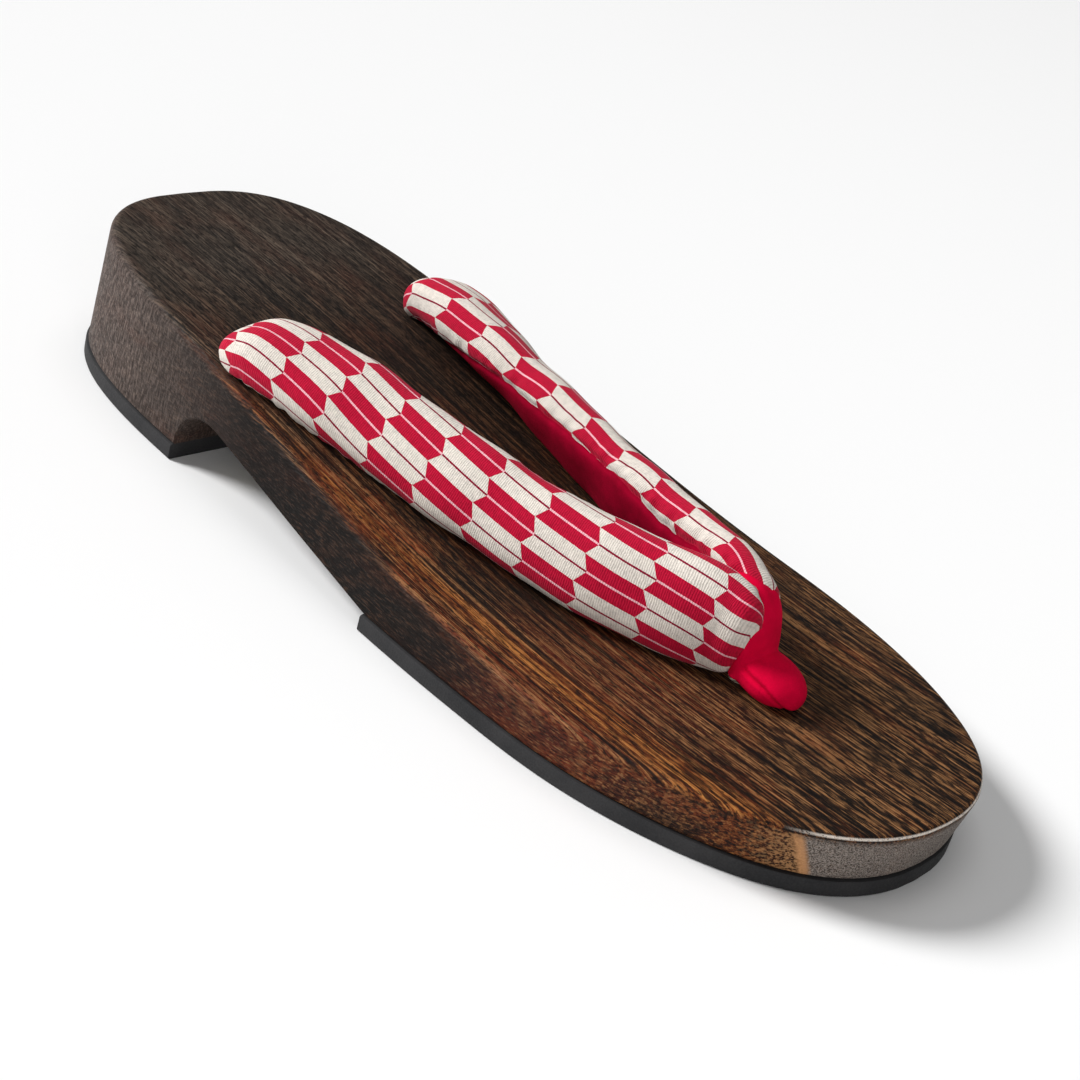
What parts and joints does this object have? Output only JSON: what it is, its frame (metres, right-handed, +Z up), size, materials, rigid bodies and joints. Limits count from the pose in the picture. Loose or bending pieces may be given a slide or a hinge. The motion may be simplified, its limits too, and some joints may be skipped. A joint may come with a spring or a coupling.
{
  "type": "geta sandal",
  "caption": "Wooden geta sandal with a sawn arch between heel block and forefoot, rubber treads, and a padded V strap held by a velvet toe thong.",
  "frame": {"origin": "on the ground under the middle of the sandal", "axes": "+Z up, the toe points to -Y and the heel to +Y, +X is to the wearer's left"},
  "size_m": [0.0926, 0.2418, 0.0396],
  "materials": {
    "board_wood": "burned and brushed, satin",
    "tread_rubber": "matte",
    "strap_cloth": "ribbed cotton with a woven arrow-feather pattern",
    "thong_velvet": "short velvet",
    "cord": "twisted cotton"
  },
  "bodies": {
    "root": {"board": "board_wood", "heel_tread": "tread_rubber", "forefoot_tread": "tread_rubber", "strap": "strap_cloth", "toe_thong": "thong_velvet", "rear_cord_left": "cord", "rear_cord_right": "cord", "front_cord": "cord"}
  },
  "joints": []
}
